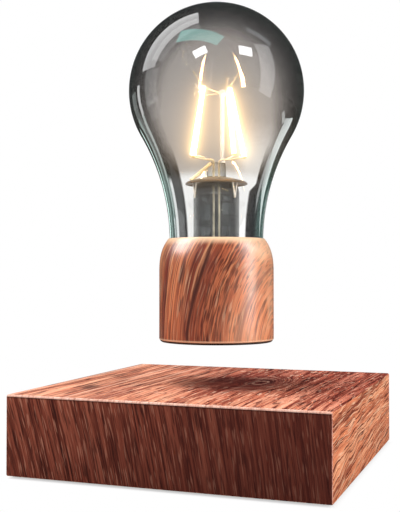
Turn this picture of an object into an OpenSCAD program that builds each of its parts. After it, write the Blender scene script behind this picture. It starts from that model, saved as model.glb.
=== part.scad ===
// Levitating bulb lamp: a clear filament bulb in a turned wooden collar
// hovers over a square wooden base that holds it up and powers it.
// Millimetres, +Z up. The origin is the centre of the base's footprint, on
// the surface that the feet stand on. -Y is the front, +Y the side with the
// power inlet.

/* [Base] */
// Width and depth of the wooden base
base_w = 125; // [118:1:150]
// Height of the wooden block
base_h = 30.8; // [30:0.2:40]
// Chamfer on the block's edges
edge_c = 0.8; // [0.4:0.1:1.5]
// Thickness of the side walls
wall_t = 7; // [6.6:0.2:8]
// Thickness of the top over the coils
top_t = 3.6; // [2:0.2:4]
// How far the rubber feet stand below the block
foot_out = 0.8; // [0.5:0.1:2]

/* [Levitation] */
// Air gap between the base and the collar's cap
hover_gap = 17.4; // [12:0.2:30]
// Outer radius of the ring magnet in the base
ring_ro = 42; // [38:0.5:43]
// Inner radius of the ring magnet in the base
ring_ri = 29; // [28.6:0.1:31]
// Distance of each steering coil from the axis
coil_pitch = 17; // [16:0.5:17.5]
// Radius of the floating disc magnet
mag_r = 17; // [14:0.5:17]
// Thickness of the floating disc magnet
mag_h = 8; // [5:0.5:8]

/* [Collar] */
// Outer radius of the wooden collar
collar_r = 24; // [23.6:0.1:28]
// Height of the collar with its cap
collar_h = 43; // [42:0.5:50]
// Height of the rounded shoulder
shoulder_h = 15; // [8:0.5:16]
// Outer radius at the collar's top edge
collar_top_r = 20.2; // [20.2:0.1:22]

/* [Bulb] */
// Radius of the round part of the glass
glass_r = 36.8; // [34:0.1:42]
// Height of the round part's centre above the collar's top
glass_up = 61.9; // [60:0.1:70]
// Outer radius of the neck
neck_r = 19.65; // [19.25:0.05:19.8]
// Glass wall
glass_t = 1; // [0.6:0.1:1.4]
// Height of the light strips
strip_h = 30.8; // [24:0.2:32]
// Turn of the mount inside the glass, about the bulb's axis
mount_turn = 20; // [0:1:359]

/* [Hidden] */
$fn = 96;
e = 0.01;
z0 = foot_out;                    // underside of the wooden block
z_top = z0 + base_h;              // top of the base
half = base_w / 2;
in_w = base_w - 2 * wall_t;       // cavity across flats
z_skin = z_top - top_t;           // underside of the top skin
boss = 11;                        // wooden corner block for a screw
screw_at = in_w / 2 - boss / 2;
plate_t = 2.4;
z_plate = z0 + plate_t;           // top of the bottom plate
z_board = z_plate + 2.8;          // underside of the control board
board_t = 1.6;
z_tray = z_board + board_t;       // underside of the coil tray
z_mag = z_tray + 1.6;             // underside of the ring magnet
ring_h = 10;
coil_h = 11;
z_foam = z_mag + ring_h;
z_former = z_foam + 1.6;
z_tx = z_former + 1;
stand_x = in_w / 2 - 9.5;         // standoffs of the control board
stand_y = 34;
jack_z = 14;
touch_y = -37;
touch_z = 16;

zc = z_top + hover_gap;           // underside of the collar's cap
z_rim = zc + 0.8;                 // underside of the wooden collar
z_ct = zc + collar_h;             // top of the collar
cav_r = collar_r - 2.7;           // cavity of the collar
z_magf = zc + 1.9;                // underside of the floating magnet
z_ret = z_magf + mag_h + 0.4;     // underside of its retainer
z_rxb = z_ret + 3;                // underside of the receiver board

gz = z_ct + glass_up;             // centre of the round part of the glass
nz = z_ct - 1.5;                  // where the flare runs into the neck
g_end = z_ct - 14;                // lower end of the neck
// Radius of the flare that is tangent to the neck and to the round part
flare = (pow(gz - nz, 2) + neck_r * neck_r - glass_r * glass_r) / (2 * (glass_r - neck_r));
flare_a = asin((gz - nz) / (glass_r + flare));

stem_r = 9.7;
z_stem = z_ct + 20;               // top of the straight stem
z_pinch = z_ct + 32.3;            // top of the pinch
z_low = z_ct + 33;                // lower ends of the strips
z_high = z_low + strip_h;         // upper ends of the strips
z_bead = z_high - 2.3;            // bead on top of the support rod
rod_xy = [2.5, -0.1];             // the support rod stands beside the leads
// Each strip's lower end x, y, its upper end x, y, and how far its lower end is lifted, seen with the pinch along x
strip_xy = [[-10.6, 10, -5.85, 10.3, 3], [-9.6, -10, -5.4, -6, 0], [11.5, -8.6, 5.4, -3, 0], [7.7, 5.5, 5.05, 4.4, 3]];

// Half profiles of the glass, o inside the outer surface
function flare_pts(o) = [for (i = [0:14]) let (a = flare_a * i / 14)
    [neck_r + flare - (flare + o) * cos(a), nz + (flare + o) * sin(a)]];
function round_pts(o) = [for (i = [1:30]) let (a = -flare_a + (90 + flare_a) * i / 30)
    [i == 30 ? 0 : (glass_r - o) * cos(a), gz + (glass_r - o) * sin(a)]];
function bulb_line(o) = concat([[neck_r - o, g_end]], flare_pts(o), round_pts(o));
function flip(p) = [for (i = [len(p) - 1:-1:0]) p[i]];

// Shoulder of the collar: sloping at its rim, upright where it meets the wall
function shoulder_pts() = [for (i = [0:16]) let (d = shoulder_h * (1 - i / 16))
    [collar_r - (collar_r - collar_top_r) * pow(1 - d / shoulder_h, 3), z_ct - d]];

function unit(v) = v / norm(v);
function along(p, i) = unit(p[min(i + 1, len(p) - 1)] - p[max(i - 1, 0)]);

// Round wire along the points p, in a plane whose normal is ref
module wire(p, r, ref, n = 8) {
    m = len(p);
    pts = [for (i = [0:m - 1]) let (t = along(p, i), b = unit(cross(t, ref)), s = cross(b, t))
        for (k = [0:n - 1]) p[i] + r * (cos(360 * k / n) * s + sin(360 * k / n) * b)];
    sides = [for (i = [0:m - 2]) for (k = [0:n - 1])
        [i * n + k, i * n + (k + 1) % n, (i + 1) * n + (k + 1) % n, (i + 1) * n + k]];
    polyhedron(pts, concat([[for (k = [n - 1:-1:0]) k]], sides, [[for (k = [0:n - 1]) (m - 1) * n + k]]), convexity = 6);
}

// A bar between two points
module bar(a, b, r) {
    d = b - a;
    translate(a) rotate([0, acos(d[2] / norm(d)), atan2(d[1], d[0])]) cylinder(r = r, h = norm(d), $fn = 32);
}

module tube(ro, ri, h) {
    difference() {
        cylinder(r = ro, h = h);
        translate([0, 0, -1]) cylinder(r = ri, h = h + 2);
    }
}

module at_corners(x, y) {
    for (sx = [-1, 1]) for (sy = [-1, 1]) translate([sx * x, sy * y, 0]) children();
}

// A square outline with its corners cut off
function cut_square(w, h, c) = [[-w + c, -h], [w - c, -h], [w, -h + c], [w, h - c],
    [w - c, h], [-w + c, h], [-w, h - c], [-w, -h + c]];

module chamfered_block(w, h, c) {
    intersection() {
        linear_extrude(h) polygon(cut_square(w / 2, w / 2, c));
        translate([0, w / 2 + 1, h / 2]) rotate([90, 0, 0]) linear_extrude(w + 2) polygon(cut_square(w / 2, h / 2, c));
        translate([-w / 2 - 1, 0, h / 2]) rotate([90, 0, 90]) linear_extrude(w + 2) polygon(cut_square(w / 2, h / 2, c));
    }
}

// ---- base ----

module base_case() {
    color([0.42, 0.19, 0.13]) difference() {
        translate([0, 0, z0]) chamfered_block(base_w, base_h, edge_c);
        // seat of the bottom plate
        translate([-in_w / 2 - 2, -in_w / 2 - 2, z0 - 1]) cube([in_w + 4, in_w + 4, plate_t + 1]);
        // cavity, with a block left in each corner
        translate([-in_w / 2, -in_w / 2 + boss, z0]) cube([in_w, in_w - 2 * boss, z_skin - z0]);
        translate([-in_w / 2 + boss, -in_w / 2, z0]) cube([in_w - 2 * boss, in_w, z_skin - z0]);
        at_corners(screw_at, screw_at) translate([0, 0, z0]) cylinder(r = 1.5, h = 14);
        // power inlet
        translate([0, half + 1, jack_z]) rotate([90, 0, 0]) cylinder(r = 4, h = wall_t + 2);
        translate([0, half + 1, jack_z]) rotate([90, 0, 0]) cylinder(r = 5.8, h = 2.6);
        // touch stud
        translate([-half - 1, touch_y, touch_z]) rotate([0, 90, 0]) cylinder(r = 1.6, h = wall_t + 2);
        translate([-half - 1, touch_y, touch_z]) rotate([0, 90, 0]) cylinder(r = 5.1, h = 2.2);
    }
}

module bottom_plate() {
    w = in_w + 3.6;
    color([0.06, 0.06, 0.065]) difference() {
        translate([0, 0, z0]) linear_extrude(plate_t) polygon(cut_square(w / 2, w / 2, 1.5));
        at_corners(screw_at, screw_at) {
            translate([0, 0, z0 - 1]) cylinder(r = 1.7, h = plate_t + 2);
            translate([0, 0, z0 - e]) cylinder(r1 = 3.1, r2 = 1.6, h = 1.5);
        }
        at_corners(screw_at - 12, screw_at - 1) translate([0, 0, z0 - 1]) cylinder(r = 6.1, h = 2);
        // rows of slots that let the coils' heat out
        for (x = [-24:6:24]) translate([x, 0, z0 - 1]) linear_extrude(plate_t + 2) union() {
            square([2, 22], center = true);
            for (s = [-1, 1]) translate([0, 11 * s]) circle(r = 1, $fn = 32);
        }
    }
}

module bottom_screws() {
    color([0.55, 0.55, 0.57]) at_corners(screw_at, screw_at) difference() {
        union() {
            translate([0, 0, z0 + 0.15]) cylinder(r1 = 2.8, r2 = 1.45, h = 1.35);
            translate([0, 0, z0 + 1.4]) cylinder(r = 1.4, h = 10.6);
            translate([0, 0, z0 + 12]) cylinder(r1 = 1.4, r2 = 0.2, h = 1.5);
        }
        for (a = [0, 90]) rotate(a) translate([-1.5, -0.35, z0 - 1]) cube([3, 0.7, 1.9]);
    }
}

module rubber_feet() {
    color([0.09, 0.09, 0.09]) at_corners(screw_at - 12, screw_at - 1) {
        cylinder(r1 = 5.6, r2 = 6, h = 0.5);
        translate([0, 0, 0.5]) cylinder(r = 6, h = z0 + 0.5);
    }
}

module board_standoffs() {
    color([0.9, 0.88, 0.8]) at_corners(stand_x, stand_y) translate([0, 0, z_plate]) tube(3, 1.6, z_board - z_plate);
}

module main_board() {
    w = in_w - 11;
    color([0.05, 0.28, 0.14]) difference() {
        translate([-w / 2, -w / 2, z_board]) cube([w, w, board_t]);
        at_corners(w / 2, w / 2) translate([-7.5, -7.5, z_board - 1]) cube([15, 15, board_t + 2]);
        at_corners(stand_x, stand_y) translate([0, 0, z_board - 1]) cylinder(r = 1.7, h = board_t + 2);
        for (x = [-3, 3]) translate([x, 46, z_board - 1]) cylinder(r = 0.6, h = board_t + 2, $fn = 32);
    }
}

module board_screws() {
    color([0.72, 0.72, 0.74]) at_corners(stand_x, stand_y) difference() {
        union() {
            translate([0, 0, z_plate + 0.4]) cylinder(r = 1.45, h = z_tray - z_plate - 0.4);
            translate([0, 0, z_tray]) cylinder(r = 2.8, h = 1.4);
            translate([0, 0, z_tray + 1.4]) cylinder(r1 = 2.8, r2 = 1.9, h = 0.6);
        }
        for (a = [0, 90]) rotate(a) translate([-1.5, -0.35, z_tray + 0.9]) cube([3, 0.7, 2]);
    }
}

// Capacitors, chokes, transistors and a driver chip around the edge of the board
module board_components() {
    color([0.15, 0.16, 0.18]) {
        for (y = [-14, 0, 14]) translate([46, y, z_tray]) { cylinder(r = 3.15, h = 7.2); }
        for (y = [-20, -7, 6]) translate([-48.5, y, z_tray]) cube([5, 6.5, 2.3]);
        translate([-48.8, 17, z_tray]) cube([6, 6, 4]);
        for (x = [-20, 14]) translate([x, -48, z_tray]) cube([6, 4.4, 1.7]);
        translate([-5, -49, z_tray]) cube([10, 5.4, 3]);
        for (x = [-26, -20, 20, 26]) translate([x, 45, z_tray]) cube([2, 3.2, 0.9]);
    }
}

module coil_tray() {
    color([0.1, 0.1, 0.11]) translate([0, 0, z_tray]) difference() {
        union() {
            cylinder(r = ring_ro, h = 1.6);
            // locating ring just inside the ring magnet
            tube(ring_ri - 0.1, ring_ri - 0.8, 4.5);
        }
        for (a = [0:90:270]) rotate(a) translate([coil_pitch, 0, -1]) cylinder(r = 2.6, h = 4);
    }
}

module ring_magnet() {
    color([0.2, 0.2, 0.21]) translate([0, 0, z_mag]) tube(ring_ro, ring_ri, ring_h);
}

module coil_cores() {
    color([0.45, 0.45, 0.47]) for (a = [0:90:270]) rotate(a) translate([coil_pitch, 0, z_tray]) {
        cylinder(r = 2.5, h = 1.6);
        translate([0, 0, 1.6]) cylinder(r = 3.9, h = coil_h);
    }
}

module coil_bobbins() {
    color([0.9, 0.88, 0.82]) for (a = [0:90:270]) rotate(a) translate([coil_pitch, 0, z_mag]) difference() {
        union() {
            cylinder(r = 10.6, h = 1);
            cylinder(r = 5, h = coil_h);
            translate([0, 0, coil_h - 1]) cylinder(r = 10.6, h = 1);
        }
        translate([0, 0, -1]) cylinder(r = 4, h = coil_h + 2);
    }
}

module coil_windings() {
    color([0.66, 0.34, 0.15]) for (a = [0:90:270]) rotate(a) translate([coil_pitch, 0, z_mag + 1.05])
        tube(10.2, 5.05, coil_h - 2.1);
}

module sensor_board() {
    color([0.05, 0.28, 0.14]) translate([0, 0, z_mag]) {
        cylinder(r = 2, h = 5);
        translate([0, 0, 5]) cylinder(r = 5, h = 1.2);
    }
}

module hall_sensors() {
    color([0.12, 0.12, 0.13]) translate([0, 0, z_mag + 6.2]) {
        translate([-0.8, -2, 0]) cube([1.6, 4, 3]);
        for (s = [-1, 1]) translate([s * 3 - 0.6, -1.4, 0]) cube([1.2, 2.8, 2.4]);
    }
}

module foam_ring() {
    color([0.18, 0.18, 0.19]) translate([0, 0, z_foam]) tube(ring_ro - 0.5, ring_ri + 1, z_former - z_foam);
}

module coil_former() {
    color([0.78, 0.7, 0.5]) translate([0, 0, z_former]) tube(ring_ro, 6, 1);
}

module transmitter_coil() {
    color([0.7, 0.36, 0.16]) translate([0, 0, z_tx]) for (i = [0:7]) translate([0, 0, 1]) rotate_extrude()
        translate([20.5 + i * 2.2, 0]) circle(r = 1, $fn = 24);
}

module dc_jack() {
    color([0.05, 0.05, 0.055]) translate([0, half, jack_z]) rotate([90, 0, 0]) difference() {
        union() {
            translate([0, 0, 0.2]) cylinder(r = 5.6, h = 1.35);
            translate([0, 0, 1.5]) cylinder(r = 3.9, h = 9);
        }
        translate([0, 0, -1]) cylinder(r = 2.8, h = 10);
        translate([0, 0, 8]) cylinder(r = 0.8, h = 4);
        for (s = [-1, 1]) translate([2.4 * s, 0, 9.5]) cylinder(r = 0.65, h = 2, $fn = 32);
    }
}

module jack_pin() {
    color([0.8, 0.66, 0.36]) translate([0, half, jack_z]) rotate([90, 0, 0]) {
        translate([0, 0, 0.6]) cylinder(r1 = 0.6, r2 = 1, h = 0.4);
        translate([0, 0, 1]) cylinder(r = 1, h = 7.8);
        translate([0, 0, 8.8]) cylinder(r = 0.8, h = 1.7);
    }
}

module jack_nut() {
    color([0.7, 0.7, 0.72]) translate([0, half - wall_t, jack_z]) rotate([90, 0, 0]) difference() {
        cylinder(r = 6.3, h = 2, $fn = 6);
        translate([0, 0, -1]) cylinder(r = 3.95, h = 4);
    }
}

// Two insulated leads from the inlet down to the control board
module jack_leads() {
    color([0.6, 0.08, 0.06]) for (s = [-1, 1])
        wire([[2.4 * s, 52.9, jack_z], [2.4 * s, 51, jack_z], [2.5 * s, 48.8, jack_z - 0.6], [2.7 * s, 47.1, jack_z - 2],
            [2.9 * s, 46.2, jack_z - 4], [3 * s, 46, z_tray + 1], [3 * s, 46, z_board - 0.6]], 0.55, [1, 0, 0]);
}

module touch_stud() {
    color([0.78, 0.78, 0.8]) translate([-half, touch_y, touch_z]) rotate([0, 90, 0]) {
        translate([0, 0, 0.15]) cylinder(r1 = 4.6, r2 = 5, h = 0.35);
        translate([0, 0, 0.5]) cylinder(r = 5, h = 0.65);
        translate([0, 0, 1.15]) cylinder(r = 1.5, h = wall_t + 0.6);
    }
}

module touch_board() {
    color([0.05, 0.28, 0.14]) translate([-in_w / 2, touch_y - 5.5, touch_z - 6]) difference() {
        cube([1.2, 11, 12]);
        translate([-1, 5.5, 6]) rotate([0, 90, 0]) cylinder(r = 1.55, h = 4);
    }
}

module touch_lead() {
    color([0.85, 0.85, 0.8])
        wire([[-in_w / 2 + 1.2, touch_y, touch_z - 4.5], [-in_w / 2 + 2.2, touch_y, touch_z - 4.5], [-in_w / 2 + 4, touch_y, touch_z - 5],
            [-in_w / 2 + 5.5, touch_y, touch_z - 6.2], [-in_w / 2 + 6.1, touch_y, z_tray + 1], [-in_w / 2 + 6.1, touch_y, z_tray]], 0.4, [0, 1, 0]);
}

// ---- floating part ----

module collar() {
    color([0.66, 0.34, 0.18]) rotate_extrude() polygon(concat(
        [[cav_r, z_rim], [collar_r - 0.5, z_rim], [collar_r, z_rim + 0.5]],
        shoulder_pts(),
        [[neck_r + 0.15, z_ct], [neck_r + 0.15, z_ct - 3], [cav_r, z_ct - 3]]));
}

module collar_cap() {
    color([0.07, 0.06, 0.06]) difference() {
        union() {
            translate([0, 0, zc]) cylinder(r1 = collar_r - 1, r2 = collar_r - 0.5, h = 0.4);
            translate([0, 0, zc + 0.4]) cylinder(r = collar_r - 0.5, h = 0.4);
            translate([0, 0, z_rim]) cylinder(r = cav_r - 0.1, h = 0.7);
            translate([0, 0, z_rim + 0.7]) cylinder(r = mag_r + 1.3, h = z_ret - z_rim - 0.7);
        }
        translate([0, 0, z_rim + 0.7]) cylinder(r = mag_r + 0.3, h = mag_h + 10);
    }
}

module levitation_magnet() {
    color([0.75, 0.75, 0.77]) translate([0, 0, z_magf]) {
        cylinder(r1 = mag_r - 0.4, r2 = mag_r, h = 0.4);
        translate([0, 0, 0.4]) cylinder(r = mag_r, h = mag_h - 0.8);
        translate([0, 0, mag_h - 0.4]) cylinder(r1 = mag_r, r2 = mag_r - 0.4, h = 0.4);
    }
}

module magnet_retainer() {
    color([0.12, 0.12, 0.13]) translate([0, 0, z_ret]) {
        tube(cav_r - 0.2, 12, 1.2);
        // rim that carries the receiver board
        translate([0, 0, 1.2]) tube(cav_r - 0.2, cav_r - 2.2, 1.8);
    }
}

module receiver_coil() {
    color([0.7, 0.36, 0.16]) translate([0, 0, z_rim + 0.8]) tube(cav_r - 0.3, mag_r + 1.4, mag_h);
}

module receiver_board() {
    color([0.05, 0.28, 0.14]) translate([0, 0, z_rxb]) difference() {
        cylinder(r = cav_r - 0.3, h = 1.6);
        for (s = [-1, 1]) rotate(mount_turn) translate([1.15 * s, 0, -1]) cylinder(r = 0.5, h = 4, $fn = 32);
    }
}

module receiver_components() {
    color([0.15, 0.16, 0.18]) translate([0, 0, z_rxb + 1.6]) {
        for (a = [60, 150, 240]) rotate(a) translate([13, 0, 0]) cylinder(r = 3.1, h = 6.5);
        rotate(105) translate([12, 0, 2]) cube([6, 6, 4], center = true);
        rotate(195) translate([12, 0, 1.2]) cube([6, 5, 2.4], center = true);
        rotate(330) translate([12, 0, 1]) cube([5, 8, 2], center = true);
    }
}

module neck_gasket() {
    color([0.85, 0.84, 0.8]) translate([0, 0, z_ct - 12]) tube(cav_r - 0.05, neck_r + 0.05, 8.6);
}

module glass_envelope() {
    color([0.75, 0.78, 0.78, 0.35]) rotate_extrude() polygon(concat(bulb_line(0), flip(bulb_line(glass_t))));
}

// Glass skirt that closes the neck and carries the mount
module stem() {
    color([0.7, 0.74, 0.74, 0.45]) {
        difference() {
            union() {
                rotate_extrude() polygon([
                    [neck_r - glass_t - 0.15, g_end], [neck_r - glass_t - 0.15, g_end + 1.2], [15, g_end + 4], [stem_r + 1, g_end + 9], [stem_r, g_end + 14],
                    [stem_r, z_stem], [stem_r - 1.4, z_stem + 2.2], [5.2, z_stem + 5], [0, z_stem + 5], [0, z_stem + 3.6], [4.6, z_stem + 3.6],
                    [stem_r - 2.4, z_stem + 1.4], [stem_r - 1.2, z_stem - 0.6], [stem_r - 1.2, g_end + 14.2], [stem_r - 0.3, g_end + 9.4], [14, g_end + 5], [neck_r - glass_t - 2, g_end + 1.6], [neck_r - glass_t - 2, g_end]]);
                rotate(mount_turn) translate([-4, -1.6, z_stem + 4.5]) cube([8, 3.2, z_pinch - z_stem - 4.5]);
            }
            for (s = [-1, 1]) rotate(mount_turn) translate([1.15 * s, 0, z_stem]) cylinder(r = 0.5, h = z_pinch - 0.35 - z_stem, $fn = 32);
        }
    }
}

module exhaust_tube() {
    color([0.8, 0.82, 0.82, 0.5]) rotate(mount_turn) translate([0, 4.2, g_end - 4]) tube(1.8, 1.1, z_stem + 2.6 - g_end + 4);
}

// Slim board of the light strips' driver, standing in the hollow stem behind the lead wires
module driver_board() {
    color([0.08, 0.09, 0.09]) rotate(mount_turn) translate([-7.7, 1, g_end - 2]) cube([15.4, 1.2, z_stem - g_end + 1.4]);
}

module driver_components() {
    color([0.16, 0.17, 0.18]) rotate(mount_turn) translate([0, 1, g_end]) {
        translate([-7.6, -1.6, 22]) cube([4.8, 1.6, 6.4]);
        translate([-7, -1.2, 15.5]) cube([2.2, 1.2, 3.6]);
        translate([-4.2, -1, 16]) cube([1.6, 1, 2.6]);
        translate([2.6, -1.4, 24.5]) cube([5.4, 1.4, 4.6]);
        translate([5.2, -2.6, 14.5]) cube([2.6, 2.6, 7]);
        translate([2.5, -1, 16.5]) cube([1.8, 1, 2.8]);
        translate([-6, -1, 30]) cube([2, 1, 1.6]);
        translate([3.4, -1, 30.4]) cube([3, 1, 1.8]);
    }
}

module lead_wires() {
    color([0.9, 0.86, 0.74]) for (s = [-1, 1]) rotate(mount_turn) translate([1.15 * s, 0, z_rxb + 0.4]) cylinder(r = 0.45, h = z_pinch - 0.35 - z_rxb - 0.4, $fn = 32);
}

// Shallow metal dish that keeps the strips' heat off the electronics
module heat_shield() {
    z = z_stem + 5.1;
    color([0.5, 0.36, 0.2]) difference() {
        rotate_extrude() polygon([[4.4, z], [6, z], [12.2, z - 1.6], [13.1, z - 2.3], [13.1, z - 1.7], [12.2, z - 1], [6, z + 0.6], [4.4, z + 0.6]]);
    }
}

module support_rod() {
    color([0.85, 0.87, 0.87, 0.5]) {
        rotate(mount_turn) translate([rod_xy[0], rod_xy[1], z_pinch]) cylinder(r = 0.9, h = z_bead - z_pinch, $fn = 32);
        rotate(mount_turn) translate([rod_xy[0], rod_xy[1], z_bead]) sphere(r = 1.7, $fn = 32);
    }
}

// A point of strip i, l from its lower end
function strip_low(i) = [strip_xy[i][0], strip_xy[i][1], z_low + strip_xy[i][4]];
function strip_top(i) = [strip_xy[i][2], strip_xy[i][3], z_high];
function strip_l(i) = norm(strip_top(i) - strip_low(i));
function strip_at(i, l) = strip_low(i) + unit(strip_top(i) - strip_low(i)) * l;
cap_l = 1.2;
last = len(strip_xy) - 1;

module light_strips() {
    color([1, 0.9, 0.62]) rotate(mount_turn) for (i = [0:last]) bar(strip_at(i, cap_l), strip_at(i, strip_l(i) - cap_l), 0.95);
}

module strip_caps() {
    color([0.8, 0.78, 0.7]) rotate(mount_turn) for (i = [0:last]) {
        bar(strip_at(i, 0), strip_at(i, cap_l), 0.8);
        bar(strip_at(i, strip_l(i) - cap_l), strip_at(i, strip_l(i)), 0.8);
    }
}

// Wires that spread from the bead, hold the upper ends and end in free hooks
module upper_hooks() {
    color([0.8, 0.68, 0.45]) rotate(mount_turn) for (i = [0:last]) {
        v = [strip_xy[i][2], strip_xy[i][3]] - rod_xy;
        r = norm(v);
        d = v / r;
        wire([for (q = [[1, 0], [2.4, 0.2], [max(r - 2, 3), 1.1], [r, 2.3], [r + 1.6, 3.4], [r + 3.4, 5], [r + 5.2, 7.2]])
            [rod_xy[0] + q[0] * d[0], rod_xy[1] + q[0] * d[1], z_bead + q[1]]], 0.3, [-d[1], d[0], 0]);
    }
}

// Wires that spread from the pinch and feed the lower ends
module lower_hooks() {
    color([0.8, 0.68, 0.45]) rotate(mount_turn) for (i = [0:last]) {
        r = norm([strip_xy[i][0], strip_xy[i][1]]);
        d = [strip_xy[i][0], strip_xy[i][1]] / r;
        up = strip_xy[i][4];
        wire([for (q = [[1.4, -0.7], [1.5, 0.1], [2.1, 0.8], [3.4, 1 + 0.05 * up], [6, 0.7 + 0.4 * up], [8.6, 0.7 + 0.85 * up], [r - 0.2, 1.1 + up]])
            [q[0] * d[0], q[0] * d[1], z_pinch + q[1]]], 0.32, [-d[1], d[0], 0]);
    }
}

// Stiff wire that props the shield from the pinch
module shield_strut() {
    color([0.85, 0.76, 0.6]) rotate(mount_turn)
        bar([-2.2, -1.2, z_pinch - 0.6], [-10.6, -3.6, z_stem + 4.3], 0.8);
}

// Bent wire legs that stand the shield against the top of the stem
leg_at = [85, 207, 318];          // where the legs stand round the stem
function leg_pt(a, z) = [(stem_r + 0.4) * cos(a), (stem_r + 0.4) * sin(a), z];
module shield_legs() {
    color([0.85, 0.76, 0.6]) rotate(mount_turn) for (a = leg_at, s = [-1, 1])
        bar(leg_pt(a, z_stem - 3.1), leg_pt(a + 8 * s, z_stem + 4), 0.4);
}

base_case();
bottom_plate();
bottom_screws();
rubber_feet();
board_standoffs();
main_board();
board_screws();
board_components();
coil_tray();
ring_magnet();
coil_cores();
coil_bobbins();
coil_windings();
sensor_board();
hall_sensors();
foam_ring();
coil_former();
transmitter_coil();
dc_jack();
jack_pin();
jack_nut();
jack_leads();
touch_stud();
touch_board();
touch_lead();
collar();
collar_cap();
levitation_magnet();
magnet_retainer();
receiver_coil();
receiver_board();
receiver_components();
neck_gasket();
glass_envelope();
stem();
exhaust_tube();
driver_board();
driver_components();
lead_wires();
heat_shield();
shield_strut();
shield_legs();
support_rod();
light_strips();
strip_caps();
upper_hooks();
lower_hooks();
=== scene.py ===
import math

import bmesh
import bpy
from mathutils import Matrix, Vector


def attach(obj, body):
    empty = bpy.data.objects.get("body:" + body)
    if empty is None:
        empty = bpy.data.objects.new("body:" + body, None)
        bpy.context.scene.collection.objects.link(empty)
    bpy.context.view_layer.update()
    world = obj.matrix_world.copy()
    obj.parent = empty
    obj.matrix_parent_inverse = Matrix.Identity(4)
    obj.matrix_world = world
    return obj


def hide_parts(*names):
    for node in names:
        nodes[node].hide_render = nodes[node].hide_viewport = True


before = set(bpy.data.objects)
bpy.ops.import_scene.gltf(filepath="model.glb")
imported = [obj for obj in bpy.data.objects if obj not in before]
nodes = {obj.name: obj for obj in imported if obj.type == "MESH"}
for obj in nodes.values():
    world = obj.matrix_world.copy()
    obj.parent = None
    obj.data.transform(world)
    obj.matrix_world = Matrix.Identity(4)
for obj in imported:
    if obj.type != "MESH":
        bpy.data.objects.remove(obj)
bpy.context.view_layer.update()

scene = bpy.context.scene
MM = 0.001


# ---------------------------------------------------------------- node helpers

def lin(r, g, b):
    """A colour given as 0 to 255, as the linear values that shaders take."""
    out = []
    for c in (r, g, b):
        c = c / 255.0
        out.append(c / 12.92 if c <= 0.04045 else ((c + 0.055) / 1.055) ** 2.4)
    return tuple(out)


class S:
    """A socket with arithmetic: each operation adds one Math node."""

    def __init__(self, tree, sock):
        self.t, self.s = tree, sock

    def op(self, kind, *others, clamp=False):
        n = self.t.new("ShaderNodeMath", operation=kind, use_clamp=clamp)
        for i, o in enumerate((self,) + others):
            self.t.put(n.inputs[i], o)
        return S(self.t, n.outputs[0])

    def __add__(self, o): return self.op("ADD", o)
    def __radd__(self, o): return self.op("ADD", o)
    def __sub__(self, o): return self.op("SUBTRACT", o)
    def __rsub__(self, o): return (self * -1.0) + o
    def __mul__(self, o): return self.op("MULTIPLY", o)
    def __rmul__(self, o): return self.op("MULTIPLY", o)
    def __truediv__(self, o): return self.op("DIVIDE", o)
    def abs(self): return self.op("ABSOLUTE")
    def sin(self): return self.op("SINE")
    def sqrt(self): return self.op("SQRT")
    def pow(self, e): return self.op("POWER", e)
    def frac(self): return self.op("FRACT")
    def atan2(self, o): return self.op("ARCTAN2", o)
    def max(self, o): return self.op("MAXIMUM", o)
    def min(self, o): return self.op("MINIMUM", o)


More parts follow.
